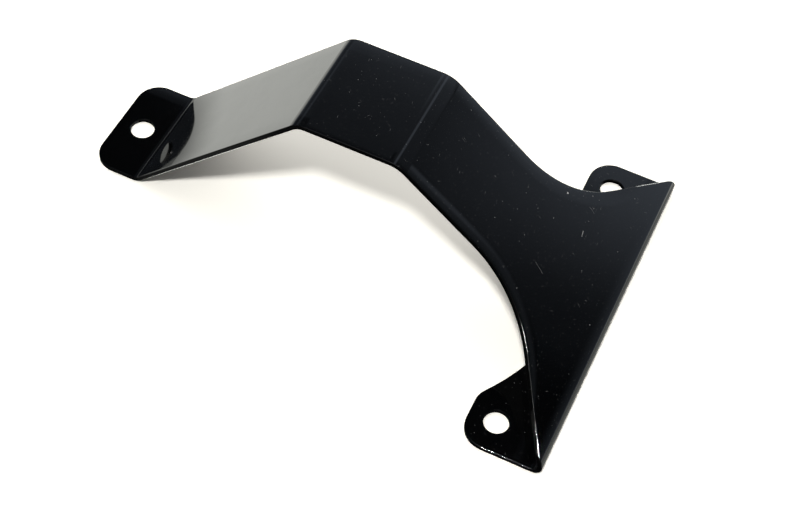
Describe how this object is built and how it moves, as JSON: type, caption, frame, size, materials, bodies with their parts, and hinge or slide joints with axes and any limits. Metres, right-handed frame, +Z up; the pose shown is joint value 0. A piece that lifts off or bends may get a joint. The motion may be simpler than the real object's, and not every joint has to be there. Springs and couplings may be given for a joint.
{
  "type": "bracket",
  "caption": "Folded sheet-metal bracket: a narrow arched strap with a screw foot flares out into a wide plate, which doubles back flat along the ground as a flange with an ear at each side.",
  "frame": {"origin": "middle of the foot's screw hole, on the underside that the foot is screwed down by", "axes": "+X from the foot to the flared end, +Z up from the surface that the bracket is screwed to, +Y across; the bracket is the same on both sides of the plane Y = 0"},
  "size_m": [0.1449, 0.0984, 0.0499],
  "materials": {
    "black_paint": "gloss"
  },
  "bodies": {
    "root": {"bracket": "black_paint"}
  },
  "joints": []
}
